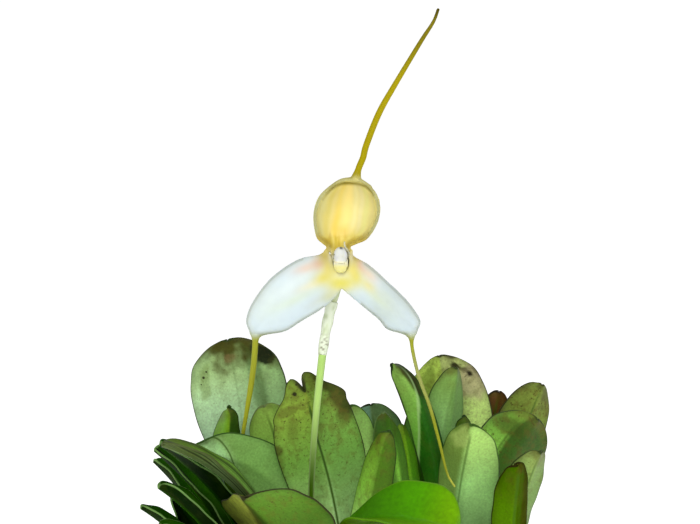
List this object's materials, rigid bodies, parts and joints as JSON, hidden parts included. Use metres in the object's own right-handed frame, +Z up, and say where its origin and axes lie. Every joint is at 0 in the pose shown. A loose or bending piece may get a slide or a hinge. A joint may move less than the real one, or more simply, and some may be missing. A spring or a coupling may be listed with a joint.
{
  "type": "masdevallia orchid",
  "caption": "Potted masdevallia orchid: a tuft of leathery leaves with a hooded, long-tailed flower held above them, in a tapered clay pot.",
  "frame": {"origin": "middle of the pot's flat underside", "axes": "+Z up, along the pot's axis; the flower looks along -Y; +X is to its right as seen from the front"},
  "size_m": [0.0932, 0.0932, 0.2032],
  "materials": {
    "hood": "satin",
    "lateral_sepal": "satin",
    "tail": "satin",
    "column": "satin",
    "petal": "satin",
    "lip": "satin",
    "ovary": "satin",
    "bract": "matte",
    "flower_stem": "satin",
    "leaf": "satin",
    "young_leaf": "satin",
    "bark": "matte",
    "fired_clay": "matte"
  },
  "bodies": {
    "root": {"dorsal_sepal": "hood", "lateral_sepals": "lateral_sepal", "dorsal_tail": "tail", "left_tail": "tail", "right_tail": "tail", "column": "column", "left_petal": "petal", "right_petal": "petal", "lip": "lip", "ovary": "ovary", "floral_bract": "bract", "flower_stem": "flower_stem", "leaf_01": "leaf", "leaf_02": "leaf", "leaf_03": "leaf", "leaf_04": "leaf", "leaf_05": "leaf", "leaf_06": "leaf", "leaf_07": "leaf", "leaf_08": "leaf", "leaf_09": "leaf", "leaf_10": "leaf", "leaf_11": "leaf", "leaf_12": "leaf", "leaf_13": "leaf", "leaf_14": "young_leaf", "leaf_15": "leaf", "leaf_16": "leaf", "leaf_17": "leaf", "leaf_18": "leaf", "leaf_19": "leaf", "leaf_20": "leaf", "leaf_21": "leaf", "leaf_22": "leaf", "leaf_23": "leaf", "leaf_24": "leaf", "leaf_25": "leaf", "leaf_26": "leaf", "leaf_27": "leaf", "leaf_28": "leaf", "leaf_29": "leaf", "leaf_30": "leaf", "leaf_31": "leaf", "leaf_32": "leaf", "leaf_33": "leaf", "leaf_34": "leaf", "leaf_35": "leaf", "leaf_36": "leaf", "leaf_37": "leaf", "leaf_38": "leaf", "leaf_39": "leaf", "leaf_40": "leaf", "leaf_41": "leaf", "leaf_42": "leaf", "leaf_43": "leaf", "leaf_44": "leaf", "bark_mix": "bark", "clay_pot": "fired_clay"}
  },
  "joints": []
}
